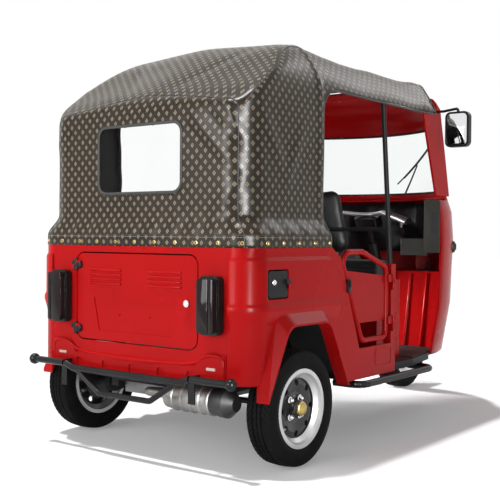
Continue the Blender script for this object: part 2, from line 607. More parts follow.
FOLDS = [  # from, to, half width, height
    ((0.04, -0.47, 1.52), (0.05, -0.53, 1.36), 0.017, 0.014),
    ((0.03, -0.30, 1.45), (0.05, -0.54, 1.22), 0.021, 0.013),
    ((0.03, -0.38, 1.46), (0.05, -0.54, 1.32), 0.018, -0.009),
    ((0.04, 0.44, 1.53), (0.05, 0.53, 1.34), 0.020, 0.007),
    ((0.03, -0.40, 1.02), (0.06, -0.56, 1.20), 0.024, 0.008),
    ((0.20, -0.58, 1.56), (0.52, -0.55, 1.68), 0.026, -0.006),
    ((0.12, -0.575, 1.50), (0.30, -0.58, 1.20), 0.030, 0.006),
    ((0.44, -0.58, 1.46), (0.30, -0.585, 1.16), 0.028, 0.005),
    ((0.12, 0.575, 1.50), (0.32, 0.58, 1.18), 0.030, 0.006),
    ((0.70, -0.30, 1.80), (1.10, -0.46, 1.78), 0.040, -0.005),
    ((0.70, 0.30, 1.80), (1.10, 0.46, 1.78), 0.040, -0.005),
    ((0.10, -0.10, 1.59), (0.42, -0.34, 1.80), 0.035, -0.005),
    ((0.10, 0.15, 1.59), (0.42, 0.34, 1.80), 0.035, -0.005),
]
HOOP_X, HOOP_FROM_Z, HOOP_WIDE, HOOP_RISE = 0.56, 1.0, 0.018, 0.006
HEADER_X, HEADER_WIDE, HEADER_RISE = 1.610, 0.050, 0.006
HEADER_LIFT, LIFT_FROM_X, LIFT_RUN = 0.003, 1.60, 0.06
SLACK, HEM_WAVE_Z, HEM_WAVE_HIGH, HEM_WAVE_LONG = 0.0022, 0.985, 0.035, 0.115
HEM_FIRM, WINDOW_FIRM = 0.03, 0.2
FIRM_HALF, FIRM_HIGH, FIRM_MIDDLE, FIRM_DEEP = 0.29, 0.18, 1.285, 0.1  # round the rear window
me = bpy.data.meshes.new("canopy_sheet")
me.from_pydata((points - (MID_X, 0, 0)).tolist(), [], faces)
bm = bmesh.new()
bm.from_mesh(me)
bmesh.ops.delete(bm, geom=[v for v in bm.verts if not v.link_faces], context="VERTS")
bmesh.ops.recalc_face_normals(bm, faces=bm.faces)
if max(bm.faces, key=lambda f: f.calc_center_median().z).normal.z < 0:
    bmesh.ops.reverse_faces(bm, faces=bm.faces)
bm.to_mesh(me)
bm.free()
kept = sorted({i for f in faces for i in f})
rest = points[kept]
normals = np.array([v.normal for v in me.vertices])
rest_x, rest_y, rest_z = rest.T
bulge = sum(ridge(rest, *fold) for fold in FOLDS)
bulge += HOOP_RISE * np.exp(-((rest_x - HOOP_X) / HOOP_WIDE) ** 2) * (rest_z > HOOP_FROM_Z)
bulge += SLACK * np.sin(rest_x * 9.0 + rest_z * 5.0) * np.sin(rest_y * 8.0 + rest_z * 11.0)
bulge += HEADER_RISE * np.exp(-((rest_x - HEADER_X) / HEADER_WIDE) ** 2)
bulge += HEADER_LIFT * np.clip((rest_x - LIFT_FROM_X) / LIFT_RUN, 0, 1)
hem_wave = np.exp(-((rest_z - HEM_WAVE_Z) / HEM_WAVE_HIGH) ** 2)
bulge += SLACK * hem_wave * np.sin((rest_x + rest_y) * 2 * math.pi / HEM_WAVE_LONG)
bulge *= np.clip((rest_z - HEM_Z) / HEM_FIRM, 0, 1)
near_window = (np.abs(rest_y) < FIRM_HALF) & (np.abs(rest_z - FIRM_MIDDLE) < FIRM_HIGH) & (rest_x < FIRM_DEEP)
bulge[near_window] *= WINDOW_FIRM
moved = rest - (MID_X, 0, 0) + normals * bulge[:, None]
for v, co in zip(me.vertices, moved):
    v.co = co
uv = me.uv_layers.new(name="flat")
for quad, panel in zip(me.polygons, panels):
    for corner in quad.loop_indices:
        uv.data[corner].uv = flats[panel][kept[me.loops[corner].vertex_index]]
me.shade_smooth()


def printed_vinyl():
    """Brown black vinyl with a woven back: pale lozenges in staggered rows, sheen and fine grain."""
    pitch, half_u, half_v, heart, ink = 0.047, 0.20, 0.24, 0.40, (0.33, 0.27, 0.19)
    m = finish("canopy_vinyl", (0.030, 0.0215, 0.0130), (0.021, 0.0148, 0.0092), scale=3.5,
               rough=(0.23, 0.33), grain=0.20, grain_scale=650.0, Specular_IOR_Level=0.21)
    t = m.node_tree
    place = wire(t, "SeparateXYZ", Vector=wire(t, "UVMap", {"uv_map": "flat"}).outputs[0]).outputs
    v = calc(t, "DIVIDE", place[1], pitch * 0.5)
    odd = calc(t, "MULTIPLY", calc(t, "FLOORED_MODULO", calc(t, "FLOOR", v), 2.0), 0.5)
    u = calc(t, "ADD", calc(t, "DIVIDE", place[0], pitch), odd)
    du = calc(t, "ABSOLUTE", calc(t, "SUBTRACT", calc(t, "FRACT", u), 0.5))
    dv = calc(t, "ABSOLUTE", calc(t, "MULTIPLY", calc(t, "SUBTRACT", calc(t, "FRACT", v), 0.5), 0.5))
    reach = calc(t, "ADD", calc(t, "DIVIDE", du, half_u), calc(t, "DIVIDE", dv, half_v))
    lozenge = calc(t, "LESS_THAN", reach, 1.0)
    core = calc(t, "GREATER_THAN", reach, heart)
    inked = calc(t, "MULTIPLY", lozenge, calc(t, "MULTIPLY_ADD", core, 0.55, 0.45))
    surface = wire(t, "TexCoord").outputs["Object"]
    wear = wire(t, "TexNoise", Vector=surface, Scale=38.0, Detail=5.0).outputs[0]
    tint(m, calc(t, "MULTIPLY", inked, calc(t, "MULTIPLY_ADD", wear, 0.7, 0.40)), ink)
    return m


canopy_vinyl = printed_vinyl()
lining = finish("canopy_lining", (0.030, 0.029, 0.028), (0.022, 0.021, 0.020), scale=9.0, rough=(0.7, 0.85),
                grain=0.30, grain_scale=900.0)
me.materials.append(canopy_vinyl)
me.materials.append(lining)
canopy = linked("canopy_sheet", me)
thick = canopy.modifiers.new("thickness", "SOLIDIFY")
thick.thickness = 0.003
thick.offset = -1.0
thick.material_offset = 1
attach(canopy, "body")
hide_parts("canopy_roof", "canopy_rear", "canopy_sides")

# Canopy trim: the panels meet in welted seams, and tape binds every cut edge.
# A stitched hem carries brass eyelets, through which the sheet is hooked to the tub.
SEAM_WELT, EDGE_TAPE, TAPE_SINK, TRIM_STEP, TRIM_LIFT = 0.0022, 0.0042, 0.0012, 0.012, 0.0004
SHOULDER_FROM, SHOULDER_TO, SHOULDER_INSET = 0.052, 0.545, 0.015
HEM_STITCH_Z, HEM_WELT_Z, HEM_WELT_R, HEM_END = 0.952, 0.960, 0.0018, 0.012
STITCH_LEN, STITCH_PITCH, STITCH_R = 0.0075, 0.0120, 0.0011
EYELET_Z, EYELET_PITCH = 0.929, 0.112
EYELET = [(0.0042, -0.001), (0.0042, 0.0010), (0.0052, 0.0019), (0.0070, 0.0017), (0.0082, 0.0004),
          (0.0082, -0.001)]  # radius, height above the sheet
tape_black = finish("edge_tape", (0.018, 0.016, 0.015), (0.012, 0.011, 0.010), scale=30.0, rough=(0.5, 0.65),
                    grain=0.25, grain_scale=900.0)
thread = finish("hem_thread", (0.34, 0.30, 0.25), (0.26, 0.23, 0.19), scale=80.0, rough=(0.6, 0.75))


def surface_of(mesh):
    """Search tree of a mesh's faces."""
    return BVHTree.FromPolygons([v.co.copy() for v in mesh.vertices],
                                [tuple(p.vertices) for p in mesh.polygons])


def hose_faces(rings, sides):
    """Faces of a row of rings with both ends closed."""
    return grid_faces(rings, sides, False, True) + [
        tuple(range(sides)), tuple(range((rings - 1) * sides, rings * sides))]


def tube(points, radius, sides=10, closed=False):
    """Round bar along a path, with closed ends."""
    p = np.asarray(points, float)
    n = len(p)
    d = np.roll(p, -1, 0) - np.roll(p, 1, 0) if closed else np.gradient(p, axis=0)
    d /= np.linalg.norm(d, axis=1)[:, None]
    r = np.broadcast_to(radius, n)
    angle = np.arange(sides) * 2 * math.pi / sides
    normal = np.cross(d[0], (0.31, 0.17, 0.93))
    rings = []
    for i in range(n):
        normal = normal - d[i] * normal.dot(d[i])
        normal /= np.linalg.norm(normal)
        other = np.cross(d[i], normal)
        rings.append(p[i] + r[i] * (np.cos(angle)[:, None] * normal + np.sin(angle)[:, None] * other))
    faces = grid_faces(n, sides, True, True) if closed else hose_faces(n, sides)
    return np.concatenate(rings).tolist(), faces


def lathe(profile, at, axis, sides=40):
    """Turned piece: profile lists radius and distance along the axis."""
    w = Vector(axis).normalized()
    u = w.orthogonal().normalized()
    v = w.cross(u)
    verts = []
    for r, h in profile:
        for k in range(sides):
            a = 2 * math.pi * k / sides
            verts.append(tuple(Vector(at) + w * h + (u * math.cos(a) + v * math.sin(a)) * max(r, 1e-5)))
    return verts, hose_faces(len(profile), sides)


def merge(*shapes):
    """Several shapes as one."""
    verts, faces = [], []
    for v, f in shapes:
        faces += [tuple(i + len(verts) for i in face) for face in f]
        verts += list(v)
    return verts, faces


def hug(path, tree, lift):
    """Path laid on a surface, raised a little, in metres from the rear panel."""
    laid = []
    for p in path:
        at, normal, _, _ = tree.find_nearest(Vector(p) - SHIFT)
        laid.append(at + SHIFT + normal * lift)
    return laid


def evenly(path, step):
    """The path's points again, at even steps."""
    p = np.asarray(path, float)
    run = run_of(p)
    return resampled(p, run, np.linspace(0, run[-1], max(2, int(run[-1] / step) + 1)))


sheet_tree = surface_of(me)
roof_rows, wall_rows = canopy_rows()
mirror_y = np.array((1, -1, 1))
rear_seam = np.concatenate([wall_rows[0][:-1] * mirror_y, roof_rows[0], wall_rows[0][:-1][::-1]])
shoulder = []
for x in np.linspace(SHOULDER_FROM, SHOULDER_TO, 40):
    z = knee_of(x)
    shoulder.append((x, -min(CANOPY_HALF - SHOULDER_INSET, CANOPY_HALF - (z - EAVE_Z) * EAVE_SLOPE), z))
shoulder = np.array(shoulder)
seams = [tube(hug(evenly(path, TRIM_STEP), sheet_tree, TRIM_LIFT), SEAM_WELT, 8)
         for path in (rear_seam, shoulder, shoulder * mirror_y)]
piece("canopy_seams", merge(*seams), tape_black, "body")
open_edge = np.concatenate([wall_rows[-1] * mirror_y, roof_rows[len(wall_rows):, 0]])
bound = np.concatenate([open_edge, roof_rows[-1][1:-1], open_edge[::-1] * mirror_y])
piece("canopy_edge_tape", tube(hug(evenly(bound, TRIM_STEP), sheet_tree, -TAPE_SINK), EDGE_TAPE, 8),
      tape_black, "body")


def hem_line(z, step):
    """Round the tub at one height, from the right opening to the left one."""
    half, rear, r = (float(v) for v in plan(np.array(z)))
    path = [(OPEN_X - HEM_END, -half, z)]
    path += [(rear + r - r * math.cos(t), -(half - r) - r * math.sin(t), z)
             for t in np.linspace(math.pi / 2, 0, 14)]
    path += [(x, -y, z) for x, y, _ in path[::-1]]
    return evenly(path, step)


stitches, eyelets = [], []
hem_points = hem_line(HEM_STITCH_Z, STITCH_PITCH)
for p, q in zip(hem_points[:-1], hem_points[1:]):
    ends = [p + (q - p) * STITCH_LEN / STITCH_PITCH * share for share in (0, 0.5, 1)]
    stitches.append(tube(hug(ends, sheet_tree, TRIM_LIFT), STITCH_R, 5))
piece("hem_stitches", merge(*stitches), thread, "body")
piece("hem_welt", tube(hug(hem_line(HEM_WELT_Z, TRIM_STEP), sheet_tree, 0.0), HEM_WELT_R, 8), tape_black,
      "body")
for p in hem_line(EYELET_Z, EYELET_PITCH):
    at, normal, _, _ = sheet_tree.find_nearest(Vector(p) - SHIFT)
    eyelets.append(lathe(EYELET, at + SHIFT, normal, 20))
piece("hem_eyelets", merge(*eyelets), brass, "body")

# Rear window: clear soft film, sewn behind the rear panel with a black tape all round.
# The film is not flat: it ripples a little, which bends what it reflects.
FILM_OVER, FILM_BEHIND, FILM_RIPPLE, FILM_ROWS, FILM_COLUMNS = 0.008, 0.0048, 0.0018, 30, 50
TAPE_WIDE = 0.008
TAPE_RINGS = [(-0.005, -0.002), (-0.005, 0.0022), (-0.002, 0.0034), (TAPE_WIDE - 0.003, 0.0034),
              (TAPE_WIDE, 0.0018), (TAPE_WIDE, -0.003)]  # outwards from the opening, height


def rounded(w, h, r, steps=5):
    """Outline of a rectangle with round corners, about its middle."""
    points = []
    for cx, cy, start in ((1, 1, 0), (-1, 1, 90), (-1, -1, 180), (1, -1, 270)):
        for k in range(steps + 1):
            a = math.radians(start + 90 * k / steps)
            points.append((cx * (w / 2 - r) + r * math.cos(a), cy * (h / 2 - r) + r * math.sin(a)))
    return points


def window_outline(grow, steps=8):
    """Outline of the opening, made larger all round."""
    outline = rounded(2 * (WINDOW_HALF + grow), WINDOW_TOP - WINDOW_LOW + 2 * grow, WINDOW_R + grow, steps)
    return [(y, z + (WINDOW_LOW + WINDOW_TOP) / 2) for y, z in outline]


def window_ring():
    """Flat tape round the opening, raised a little from the sheet."""
    verts = [(CANOPY_REAR - out, y, z) for grow, out in TAPE_RINGS for y, z in window_outline(grow)]
    return verts, grid_faces(len(TAPE_RINGS), len(window_outline(0)), True, True)


piece("window_tape", window_ring(), tape_black, "body")
film = finish("clear_film", (0.93, 0.95, 0.95), (0.90, 0.92, 0.92), scale=8.0, rough=(0.02, 0.07), grain=0.10,
              grain_scale=14.0, Transmission_Weight=1.0, IOR=1.12)
film_half, film_low, film_top = WINDOW_HALF + FILM_OVER, WINDOW_LOW - FILM_OVER, WINDOW_TOP + FILM_OVER
film_points = []
for z in np.linspace(film_low, film_top, FILM_ROWS):
    for y in np.linspace(-film_half, film_half, FILM_COLUMNS):
        edge = min(1, 8 * (1 - abs(y) / film_half))
        ripple = FILM_RIPPLE * math.sin(23 * y + 9 * z) * math.sin(31 * z - 7 * y) * edge
        film_points.append((CANOPY_REAR + FILM_BEHIND + ripple, y, z))
window_film = piece("window_film", (film_points, grid_faces(FILM_ROWS, FILM_COLUMNS)), film, "body")
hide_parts("rear_window")

# Seats: foam blocks under black leathercloth, one bench behind and one pad with a backrest in front.
# The covers are sewn with piping round the edges and pull the foam into a soft crown.
SEATS = [  # solid, piece, how much smaller it starts, how far it may swell
    ("driver_seat_cushion", "driver_cushion", 0.012, 0.020),
    ("driver_seat_back", "driver_backrest", 0.012, 0.018),
    ("bench_cushion", "bench_seat_cushion", 0.014, 0.024),
    ("bench_back", "bench_backrest", 0.014, 0.024),
]
VOXEL, SWELL_FRAMES, PRESSURE, STIFFNESS, FILL = 0.010, 20, 4.0, 20, 0.8
EASING_ROUNDS, SEAT_WELD, BASE_GAP = 8, 0.0002, 0.0005
seat_vinyl = finish("seat_vinyl", (0.018, 0.018, 0.019), (0.012, 0.012, 0.013), scale=9.0, rough=(0.38, 0.52),
                    grain=0.35, grain_scale=520.0, Specular_IOR_Level=0.20)


def stuffed(node, name, smaller, limit):
    """Cover over foam: a remeshed copy of the solid that cloth pressure swells, held to its space."""
    low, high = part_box(node)
    centre, size = (low + high) / 2, high - low
    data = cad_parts[node].data.copy()
    bm = bmesh.new()
    bm.from_mesh(data)
    bmesh.ops.remove_doubles(bm, verts=bm.verts, dist=SEAT_WELD)
    for v in bm.verts:
        for k in range(3):
            v.co[k] = centre[k] + (v.co[k] - centre[k]) * (1 - 2 * smaller / size[k])
    bm.to_mesh(data)
    bm.free()
    data.materials.clear()
    o = linked(name, data)
    remesh = o.modifiers.new("remesh", "REMESH")
    remesh.mode = "VOXEL"
    remesh.voxel_size = VOXEL
    graph = bpy.context.evaluated_depsgraph_get()
    o.data = bpy.data.meshes.new_from_object(o.evaluated_get(graph))
    o.modifiers.clear()
    cloth = o.modifiers.new("cloth", "CLOTH")
    cloth.settings.use_pressure = True
    cloth.settings.uniform_pressure_force = PRESSURE
    cloth.settings.effector_weights.gravity = 0
    cloth.settings.tension_stiffness = STIFFNESS
    cloth.settings.compression_stiffness = STIFFNESS
    cloth.point_cache.frame_end = SWELL_FRAMES
    for f in range(1, SWELL_FRAMES + 1):
        bpy.context.scene.frame_set(f)
    swollen = bpy.data.meshes.new_from_object(o.evaluated_get(bpy.context.evaluated_depsgraph_get()))
    for v, w in zip(o.data.vertices, swollen.vertices):
        d = w.co - v.co
        if d.length > limit:
            d *= limit / d.length
        v.co += d
    o.modifiers.clear()
    bpy.context.scene.frame_set(1)
    bm = bmesh.new()
    bm.from_mesh(o.data)
    for _ in range(EASING_ROUNDS):
        bmesh.ops.smooth_vert(bm, verts=bm.verts, factor=0.5, use_axis_x=True, use_axis_y=True,
                              use_axis_z=True)
    bm.to_mesh(o.data)
    bm.free()
    for v in o.data.vertices:
        v.co.z = max(v.co.z, low.z + BASE_GAP)
    o.data.shade_smooth()
    o.data.materials.append(seat_vinyl)
    o.modifiers.new("smooth", "SUBSURF").render_levels = 1
    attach(o, "body")
    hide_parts(node)
    return o


PIPING_R, PIPING_IN, PIPING_STEP = 0.0045, 0.020, 0.012
CUSHION_CORNER, BACKREST_CORNER = 0.05, 0.08
for node, name, smaller, limit in SEATS:
    cover = stuffed(node, name, smaller, limit)
    low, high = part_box(node)
    middle = (low + high) / 2 + SHIFT
    deep, wide, tall = (b - a for a, b in zip(low, high))
    if tall < deep:
        loop = [(middle.x + a, middle.y + b, high.z - PIPING_IN)
                for a, b in rounded(deep, wide, CUSHION_CORNER, 8)]
    else:
        loop = [(high.x + MID_X - PIPING_IN, middle.y + a, middle.z + b)
                for a, b in rounded(wide, tall, BACKREST_CORNER, 8)]
    loop = hug(evenly(loop + loop[:1], PIPING_STEP)[:-1], surface_of(cover.data), BASE_GAP)
    piece(f"{name}_piping", tube(loop, PIPING_R, 8, True), seat_vinyl, "body")

# Engine lid fittings: black hinge barrels on the left edge and a keyed lock on the right.
# The barrels turn on pins in the rear panel; the lock is a chromed cylinder in a round seat.
HINGE_X, HINGE_Y, HINGE_ZS = -0.007, 0.360, (0.538, 0.824)
BARREL = [(0.0, -0.0280), (0.0060, -0.0275), (0.0095, -0.0230), (0.0100, -0.008), (0.0100, 0.008),
          (0.0095, 0.0230), (0.0060, 0.0275), (0.0, 0.0280)]  # radius, height
LEAF, LEAF_CORNER, LEAF_OFF, LID_LEAF_THICK, PANEL_LEAF_THICK = 0.036, 0.016, 0.0195, 0.0150, 0.0040
LID_LOCK, LID_LOCK_R = (-0.302, 0.679), 0.0150
LOCK_SEAT = [(0.0, -0.002), (1, -0.002), (1, 0.0015), (0.86, 0.0030), (0.70, 0.0030), (0.68, 0.0058),
             (0.56, 0.0068), (0.0, 0.0068)]  # share of the seat's radius, height
REARWARD = ((0, -1, 0), (0, 0, 1))  # across and up, for what faces the rear
FORWARD = (1, 0, 0)
solid_trees = {}


def solid_tree(node):
    """Search tree of a solid of the frame, made once."""
    if node not in solid_trees:
        solid_trees[node] = surface_of(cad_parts[node].data)
    return solid_trees[node]


def skin(node, start, heading):
    """Where a line first meets a solid of the frame, and the way that its surface faces there."""
    at, normal, _, _ = solid_tree(node).ray_cast(Vector(start) - SHIFT, Vector(heading))
    if normal.dot(Vector(heading)) > 0:
        normal = -normal
    return at + SHIFT, normal


black_plastic = finish("black_plastic", (0.017, 0.017, 0.018), (0.011, 0.011, 0.012), scale=12.0,
                       rough=(0.32, 0.46), grain=0.16, grain_scale=800.0, Specular_IOR_Level=0.14)
piece("lid_hinge_barrels", merge(*[lathe(BARREL, (HINGE_X, HINGE_Y, z), (0, 0, 1), 24) for z in HINGE_ZS]),
      black_plastic, "engine_lid")


def shrink(outline, inset):
    """The outline moved inwards, corner by corner."""
    p = np.asarray(outline, float)
    run = np.roll(p, -1, 0) - np.roll(p, 1, 0)
    run /= np.linalg.norm(run, axis=1)[:, None]
    return p + inset * np.stack([-run[:, 1], run[:, 0]], 1)


def slab(outline, at, u, v, depth, roll=0.0, back=0.0):
    """Plate with a rolled front edge: outline spans u and v, and the plate grows along u x v."""
    u, v = Vector(u), Vector(v)
    w = u.cross(v)
    rings = [(outline, -back), (outline, depth - roll)]
    if roll:
        rings += [(shrink(outline, 0.3 * roll), depth - 0.3 * roll), (shrink(outline, roll), depth)]
    verts = [tuple(Vector(at) + u * float(a) + v * float(b) + w * h) for ring, h in rings for a, b in ring]
    return verts, hose_faces(len(rings), len(outline))


def lock_shape(at, normal, size):
    """Keyed lock: a round seat, a turned barrel and a key slot."""
    w = Vector(normal).normalized()
    seat = [(share * size, h) for share, h in LOCK_SEAT]
    u = w.orthogonal().normalized()
    key_slot = slab(rounded(0.55 * size, 0.10 * size, 0.045 * size, 3), Vector(at) + w * 0.0066, u,
                    w.cross(u), 0.0006)
    return merge(lathe(seat, at, w, 32), key_slot)


for body, name, off, thick in (("engine_lid", "lid_hinge_leaves", -LEAF_OFF, LID_LEAF_THICK),
                               ("body", "panel_hinge_leaves", LEAF_OFF, PANEL_LEAF_THICK)):
    outline = rounded(LEAF, LEAF, LEAF_CORNER, 7)
    leaves = [slab(outline, (0.0, HINGE_Y + off, z), *REARWARD, thick, 0.6 * thick, 0.001) for z in HINGE_ZS]
    piece(name, merge(*leaves), black_plastic, body)
at, normal = skin("engine_lid", (-1, *LID_LOCK), FORWARD)
piece("lid_lock", lock_shape(at, normal, LID_LOCK_R), chrome, "engine_lid")

# Lower rear panel: a rolled bead is pressed along the raised step and drops between its two pads.
# It stiffens the sheet below the engine lid and carries the same red paint.
STEP_BEAD = [(0.500, 0.427), (0.500, 0.479), (0.400, 0.479), (0.350, 0.424)]  # from the middle, height
STEP_BEAD_R, STEP_BEAD_SINK, STEP_BEAD_STEP = 0.0085, 0.002, 0.012


def eased(path, rounds=3):
    """The path with its corners cut round."""
    p = np.asarray(path, float)
    for _ in range(rounds):
        cut = np.stack([0.75 * p[:-1] + 0.25 * p[1:], 0.25 * p[:-1] + 0.75 * p[1:]], 1)
        p = np.concatenate([p[:1], cut.reshape(-1, 3), p[-1:]])
    return p


half_line = [(-1, y, z) for y, z in STEP_BEAD]
bead_line = eased(half_line + [(x, -y, z) for x, y, z in half_line[::-1]])
bead_line = [skin("rear_panel", q, FORWARD)[0] + Vector((STEP_BEAD_SINK, 0, 0))
             for q in evenly(bead_line, STEP_BEAD_STEP)]
piece("rear_panel_bead", tube(evenly(bead_line, STEP_BEAD_STEP), STEP_BEAD_R, 12), red_paint, "body")

# Tail lamps: smoked lenses, one large and one narrow, in a black housing on a rubber gasket.
# The lenses are moulded clear plastic with a dark red tint and sit a little proud of the housing.
LAMP_Y, LAMP_W, LAMP_LOW, LAMP_HIGH, LAMP_ROLL = 0.445, 0.104, 0.561, 0.798, 0.0030
LENS_GAP, LENS_EDGE, LENS_CORNER, NARROW_SHARE = 0.003, 0.010, 0.010, 0.26
smoked_lens = finish("smoked_lens", (0.010, 0.0030, 0.0033), (0.007, 0.0024, 0.0026), scale=4.0,
                     rough=(0.05, 0.10), Specular_IOR_Level=0.20, Coat_Weight=0.10, Coat_Roughness=0.03)
lamp_housing = finish("lamp_housing", (0.012, 0.012, 0.013), (0.008, 0.008, 0.009), scale=8.0,
                      rough=(0.10, 0.20), grain=0.02, Specular_IOR_Level=0.20, Coat_Weight=0.10,
                      Coat_Roughness=0.05)
dress(lamp_housing, "tail_lamps")
soften(LAMP_ROLL, "tail_lamps")
lens_wide, lens_high = LAMP_W - 2 * LENS_EDGE, LAMP_HIGH - LAMP_LOW - 2 * LENS_EDGE
narrow = lens_wide * NARROW_SHARE
lenses = []
for side in (-1, 1):
    for width, offset in ((lens_wide - narrow - LENS_GAP, -narrow / 2),
                          (narrow, (lens_wide - narrow) / 2 + LENS_GAP / 2)):
        at, _ = skin("tail_lamps", (-1, side * (LAMP_Y + offset), (LAMP_LOW + LAMP_HIGH) / 2), FORWARD)
        lenses.append(slab(rounded(width, lens_high, LENS_CORNER), at, *REARWARD, 0.0030, 0.0022, 0.001))
piece("tail_lamp_lenses", merge(*lenses), smoked_lens, "body")

# Small rear fittings: two plain reflectors on the lower panel and the filler flap's lock.
# The reflectors are moulded pale plastic, stuck on; the flap is black plastic with a chromed lock.
REFLECTOR_AT, REFLECTOR_WIDE, REFLECTOR_HIGH = (0.440, 0.423), 0.046, 0.012
FLAP_ROLL, FLAP_LOCK_X, FLAP_LOCK_Z, FLAP_LOCK_R = 0.0020, 0.150, 0.772, 0.0110
pale_lens = finish("pale_lens", (0.72, 0.55, 0.48), (0.62, 0.45, 0.38), scale=60.0, rough=(0.10, 0.20),
                   Coat_Weight=0.6, Coat_Roughness=0.05)
reflectors = []
for side in (-1, 1):
    at, _ = skin("rear_panel", (-1, side * REFLECTOR_AT[0], REFLECTOR_AT[1]), FORWARD)
    outline = rounded(REFLECTOR_WIDE, REFLECTOR_HIGH, 0.004, 4)
    reflectors.append(slab(outline, at, *REARWARD, 0.004, 0.0015, 0.002))
piece("rear_reflectors", merge(*reflectors), pale_lens, "body")
dress(black_plastic, "fuel_flap", "fuel_filler")
soften(FLAP_ROLL, "fuel_flap")
at, normal = skin("fuel_flap", (FLAP_LOCK_X, -2, FLAP_LOCK_Z), (0, 1, 0))
piece("flap_lock", lock_shape(at, normal, FLAP_LOCK_R), chrome, "fuel_flap")

# Doors and sills: a black latch holds each door at its rear tube, and a pressed frame stiffens each sill.
# The latch is a moulded case with a thumb lever; the sill's bead is pressed into the sheet.
LATCH_AT, SILL_AT = (0.712, 0.660, 0.735), (1.060, 0.660, 0.385)
SILL_LONG, SILL_HIGH, SILL_CORNER, SILL_BEAD_R, SILL_STEP = 0.150, 0.078, 0.016, 0.0024, 0.006
for side, label in ((-1, "right"), (1, "left")):
    door = f"door_{label}"
    at = Vector(hug([(LATCH_AT[0], side * LATCH_AT[1], LATCH_AT[2])], solid_tree(door), 0.0)[0])
    outward = ((-side, 0, 0), (0, 0, 1))
    case = slab(rounded(0.030, 0.062, 0.008), at - Vector((0, side * 0.004, 0)), *outward, 0.013, 0.005,
                0.002)
    lever = slab(rounded(0.014, 0.034, 0.006), at + Vector((0, side * 0.008, 0.010)), *outward, 0.007, 0.003,
                 0.002)
    piece(f"{label}_door_latch", merge(case, lever), black_plastic, door)
    sill = [(SILL_AT[0] + a, side * SILL_AT[1], SILL_AT[2] + b)
            for a, b in rounded(SILL_LONG, SILL_HIGH, SILL_CORNER, 6)]
    sill = hug(evenly(sill + sill[:1], SILL_STEP)[:-1], solid_tree(f"quarter_panel_{label}"), TRIM_LIFT)
    piece(f"{label}_sill_bead", tube(sill, SILL_BEAD_R, 8, True), red_paint, "body")

# Wheel fixings: four chromed nuts on each disc, and a brass coloured cap over each rear hub.
# The nuts are domed, on cupped washers; the front wheel has its nuts on the right side.
STUD_R, HUB_RING = 0.050, 0.024
NUT_R, NUT_H = 0.0108, 0.0115
WASHER = [(0.0, -0.003), (0.0150, -0.003), (0.0150, 0.0012), (0.0120, 0.0026), (0.0, 0.0026)]
NUT = [(0.0, 0.002), (NUT_R, 0.002), (NUT_R, NUT_H - 0.002), (NUT_R - 0.002, NUT_H), (0.0, NUT_H)]
NUT_DOME = [(0.0, NUT_H - 0.001), (0.0066, NUT_H - 0.001), (0.0060, NUT_H + 0.004), (0.0032, NUT_H + 0.0068),
            (0.0, NUT_H + 0.0075)]
HUB_CAP = [(0.0, -0.004), (0.0300, -0.004), (0.0300, 0.004), (0.0275, 0.0075), (0.0240, 0.0090),
           (0.0225, 0.0130), (0.0160, 0.0165), (0.0, 0.0180)]
for label, (x, y), body in AXLES:
    out = 1 if y > 0 else -1
    outward, inward = (0, out, 0), (0, -out, 0)
    nuts = []
    for k in range(4):
        a = math.radians(45 + 90 * k)
        stud = (x + STUD_R * math.cos(a), y + 0.5 * out, AXLE_Z + STUD_R * math.sin(a))
        at, _ = skin(body, stud, inward)
        for profile, sides in ((WASHER, 24), (NUT, 6), (NUT_DOME, 20)):
            nuts.append(lathe(profile, at, outward, sides))
    piece(f"{label}_wheel_nuts", merge(*nuts), chrome, body)
    if label != "front":
        at, _ = skin(body, (x, y + 0.5 * out, AXLE_Z + HUB_RING), inward)
        at.z = AXLE_Z
        piece(f"{label}_hub_cap", lathe(HUB_CAP, at, outward, 36), brass, body)

# Mirrors: black moulded shells on bent stalks at the windscreen pillars.
# Each shell frames a flat silvered glass that looks back.
MIRROR_Y, MIRROR_W, MIRROR_H, MIRROR_TOP = 0.735, 0.132, 0.184, 1.614
MIRROR_RIM, MIRROR_CORNER, MIRROR_ROLL = 0.022, 0.020, 0.0060
mirror_glass = finish("mirror_glass", (0.80, 0.81, 0.82), (0.76, 0.77, 0.78), scale=4.0, rough=(0.02, 0.05),
                      Metallic=1.0)
dress(black_plastic, "mirrors")
soften(MIRROR_ROLL, "mirrors")
glasses = []
for side in (-1, 1):
    at, _ = skin("mirrors", (0, side * MIRROR_Y, MIRROR_TOP - MIRROR_H / 2), FORWARD)
    outline = rounded(MIRROR_W - MIRROR_RIM, MIRROR_H - MIRROR_RIM, MIRROR_CORNER, 6)
    glasses.append(slab(outline, at, *REARWARD, 0.0015, 0.0006, 0.001))
piece("mirror_glasses", merge(*glasses), mirror_glass, "body")

# Windscreen: bent laminated glass in a black rubber gasket, with one wiper that stands on the cowl.
# The wiper is a black pressed arm with a rubber blade.
SCREEN_X, SCREEN_LOW_R, SCREEN_TOP_R, COWL_Z, SCREEN_TOP_Z = 1.400, 0.745, 0.684, 1.184, 1.590
GASKET_R, GASKET_IN, GASKET_LOW_END, GASKET_TOP_END = 0.007, 0.004, 0.03, 0.07
WIPER_Y, WIPER_OFF = -0.150, 0.028
BLADE = ((-0.122, 1.278, 0.012), (-0.425, 1.498, 0.012))  # from and to: across, height, off the glass
BLADE_BACK = ((-0.170, 1.313, 0.019), (-0.375, 1.462, 0.019))
BLADE_CLIP = [(-0.272, 1.386, 0.014), (-0.272, 1.386, 0.026), (-0.268, 1.380, 0.033)]
WIPER_ARM = ((WIPER_Y, 1.196, WIPER_OFF), (-0.270, 1.384, 0.033))
WIPER_BOSS = [(0.0, -0.002), (0.0140, -0.002), (0.0140, 0.016), (0.0120, 0.021), (0.0070, 0.024),
              (0.0, 0.0245)]  # radius, height
